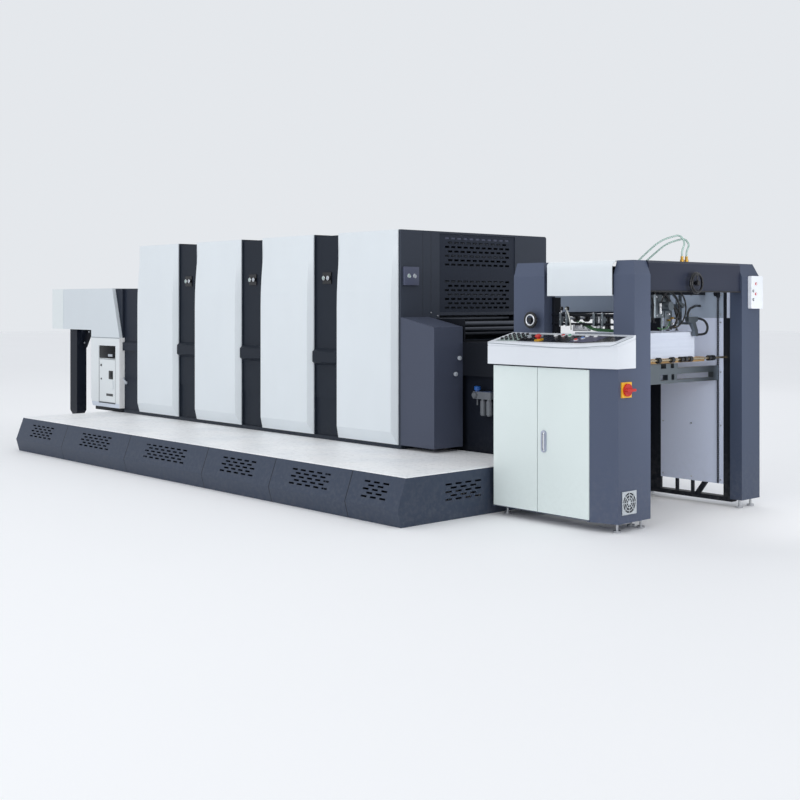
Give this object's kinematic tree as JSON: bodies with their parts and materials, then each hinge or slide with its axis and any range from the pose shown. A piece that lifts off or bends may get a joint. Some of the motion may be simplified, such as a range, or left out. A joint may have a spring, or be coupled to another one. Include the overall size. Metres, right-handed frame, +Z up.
{
  "type": "offset printing press",
  "caption": "Four-colour sheet-fed offset printing press with a feeder portal, operator console, bulged unit covers, a long step and a delivery hood.",
  "frame": {"origin": "on the floor, at the middle of the press's length and width", "axes": "+X towards the feeder, +Y towards the drive side, +Z up"},
  "size_m": [7.5602, 2.641, 1.9],
  "materials": {
    "dark_paint": "satin",
    "deep_paint": "satin",
    "light_paint": "satin",
    "panel_paint": "satin",
    "bright_steel": "brushed",
    "tread_metal": "chequered",
    "grey_metal": "satin",
    "black_rubber": "matt",
    "black_plastic": "gloss",
    "clear_hose": "gloss",
    "brass": "satin",
    "board_wood": "matt",
    "paper": "matt",
    "red_plastic": "gloss",
    "yellow_plastic": "gloss"
  },
  "bodies": {
    "press": {"base_frame": "deep_paint", "unit_1_body": "deep_paint", "unit_1_cover": "light_paint", "unit_2_body": "deep_paint", "unit_2_cover": "light_paint", "unit_3_body": "deep_paint", "unit_3_cover": "light_paint", "unit_4_body": "deep_paint", "unit_4_cover": "light_paint", "drive_side_covers": "light_paint", "roof_lids": "light_paint", "between_sections": "deep_paint", "delivery_link_section": "deep_paint", "unit_end_frame": "deep_paint", "slotted_guard": "deep_paint", "rollers": "bright_steel", "side_housing": "dark_paint", "step_skirt": "dark_paint", "step_frames": "dark_paint", "step_tread": "tread_metal", "feed_table": "deep_paint", "lower_panels": "deep_paint", "air_regulator": "grey_metal", "operator_columns": "dark_paint", "drive_columns": "dark_paint", "feeder_end_header": "dark_paint", "feeder_side_cover": "light_paint", "feeder_beams": "deep_paint", "drive_panel_lower": "panel_paint", "drive_panel_upper": "panel_paint", "lift_chains": "bright_steel", "stop_rod": "bright_steel", "suction_head": "grey_metal", "suction_hoses": "black_rubber", "hose_fittings": "brass", "air_hoses": "clear_hose", "console_cabinet": "dark_paint", "console_desk": "light_paint", "desk_keypad": "black_plastic", "desk_buttons": "black_plastic", "stop_button": "red_plastic", "switch_plate": "yellow_plastic", "fan_grille": "grey_metal", "levelling_feet": "bright_steel", "control_box": "light_paint", "delivery_hood": "light_paint", "delivery_cap": "light_paint", "delivery_frame": "deep_paint", "delivery_cabinet": "light_paint", "button_stations": "black_plastic"},
    "pile_lift": {"lift_bars": "grey_metal", "pile_board": "board_wood", "paper_pile": "paper"},
    "left_console_door": {"console_door_left": "light_paint"},
    "right_console_door": {"console_door_right": "light_paint"},
    "delivery_cabinet_door": {"cabinet_door": "light_paint"},
    "main_switch": {"switch_handle": "red_plastic"},
    "column_wheel": {"column_handwheel": "black_plastic"},
    "header_wheel": {"header_handwheel": "black_plastic"}
  },
  "joints": [
    {"name": "pile_lift_slide", "type": "slide", "parent": "press", "child": "pile_lift", "axis": [0, 0, 1], "range_m": [-0.66, 0]},
    {"name": "left_console_door_hinge", "type": "hinge", "parent": "press", "child": "left_console_door", "pos_m": [2.77085, -0.5155, 0.066], "axis": [0, 0, -1], "range_deg": [0, 90]},
    {"name": "right_console_door_hinge", "type": "hinge", "parent": "press", "child": "right_console_door", "pos_m": [3.54485, -0.5155, 0.066], "axis": [0, 0, 1], "range_deg": [0, 100]},
    {"name": "delivery_cabinet_hinge", "type": "hinge", "parent": "press", "child": "delivery_cabinet_door", "pos_m": [-2.72915, -0.3625, 0.394], "axis": [0, 0, -1], "range_deg": [0, 100]},
    {"name": "main_switch_turn", "type": "hinge", "parent": "press", "child": "main_switch", "pos_m": [3.73185, -0.4025, 0.85], "axis": [1, 0, 0], "range_deg": [0, 90]},
    {"name": "column_wheel_turn", "type": "hinge", "parent": "press", "child": "column_wheel", "pos_m": [2.93685, -0.3155, 1.256], "axis": [0, -1, 0], "continuous": true},
    {"name": "header_wheel_turn", "type": "hinge", "parent": "press", "child": "header_wheel", "pos_m": [3.71785, 0.2945, 1.492], "axis": [1, 0, 0], "continuous": true}
  ]
}
